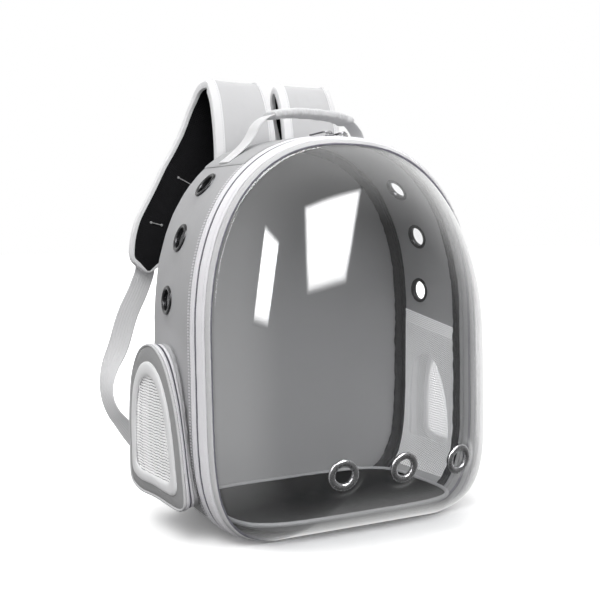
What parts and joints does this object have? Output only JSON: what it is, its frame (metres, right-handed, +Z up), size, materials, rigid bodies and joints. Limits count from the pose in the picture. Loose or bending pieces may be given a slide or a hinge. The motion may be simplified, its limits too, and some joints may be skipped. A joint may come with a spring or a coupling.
{
  "type": "bubble pet carrier backpack",
  "caption": "Soft-sided pet carrier backpack with a clear domed window, zipped rim, vent rings, mesh side pockets, floor mat, grab handle and padded shoulder straps.",
  "frame": {"origin": "centre of the whole box's footprint, on the ground", "axes": "+Z up, the clear window faces -Y, the shoulder straps are at +Y, +X to the right of someone who looks at the window"},
  "size_m": [0.431, 0.3446, 0.5044],
  "materials": {
    "body_cloth": "light grey coated polyester, matt",
    "panel_cloth": "grey padded polyester, matt",
    "pocket_cloth": "mid grey coated polyester, matt",
    "seam_binding": "black binding tape, slightly shiny",
    "rim_binding": "light grey binding tape",
    "zip_tape": "white woven zipper tape",
    "zip_coil": "dark lavender zipper coil",
    "zip_metal": "dark nickel",
    "zip_pull": "dark moulded pull",
    "clear_window": "clear glossy sheet",
    "bright_ring": "bright nickel",
    "dark_ring": "black glossy",
    "mat_top": "dark grey felted cloth",
    "mat_side": "grey cloth",
    "mat_piping": "light grey piping",
    "net": "white knitted net",
    "white_binding": "white binding tape",
    "handle_webbing": "light grey webbing",
    "grip_cloth": "light grey padded cloth",
    "strap_cloth": "light grey padded cloth",
    "strap_lining": "black spacer mesh",
    "webbing": "light grey ribbed webbing"
  },
  "bodies": {
    "root": {"gusset_shell": "body_cloth", "back_panel": "panel_cloth", "seam_binding_rear": "seam_binding", "seam_binding_front": "seam_binding", "rim_binding": "rim_binding", "rim_tape_front": "zip_tape", "rim_coil": "zip_coil", "rim_tape_rear": "zip_tape", "slider_1": "zip_metal", "slider_2": "zip_metal", "pull_1": "zip_pull", "pull_2": "zip_pull", "bubble": "clear_window", "bubble_grommet_1": "bright_ring", "bubble_grommet_2": "bright_ring", "bubble_grommet_3": "bright_ring", "side_grommet_l1": "dark_ring", "side_grommet_l2": "dark_ring", "side_grommet_l3": "dark_ring", "side_grommet_r1": "dark_ring", "side_grommet_r2": "dark_ring", "side_grommet_r3": "dark_ring", "mat_pad": "mat_side", "mat_cover": "mat_top", "mat_piping": "mat_piping", "pocket_gusset_l": "body_cloth", "pocket_tape_inner_l": "zip_tape", "pocket_coil_l": "zip_coil", "pocket_tape_outer_l": "zip_tape", "pocket_frame_l": "pocket_cloth", "pocket_piping_l": "rim_binding", "pocket_window_binding_l": "white_binding", "pocket_net_l": "net", "pocket_gusset_r": "body_cloth", "pocket_tape_inner_r": "zip_tape", "pocket_coil_r": "zip_coil", "pocket_tape_outer_r": "zip_tape", "pocket_frame_r": "pocket_cloth", "pocket_piping_r": "rim_binding", "pocket_window_binding_r": "white_binding", "pocket_net_r": "net", "side_net_l": "net", "side_net_r": "net", "handle_web": "handle_webbing", "handle_grip": "grip_cloth", "strap_pad_l": "strap_cloth", "strap_lining_l": "strap_lining", "strap_binding_l": "white_binding", "strap_web_l": "webbing", "strap_pad_r": "strap_cloth", "strap_lining_r": "strap_lining", "strap_binding_r": "white_binding", "strap_web_r": "webbing"}
  },
  "joints": []
}
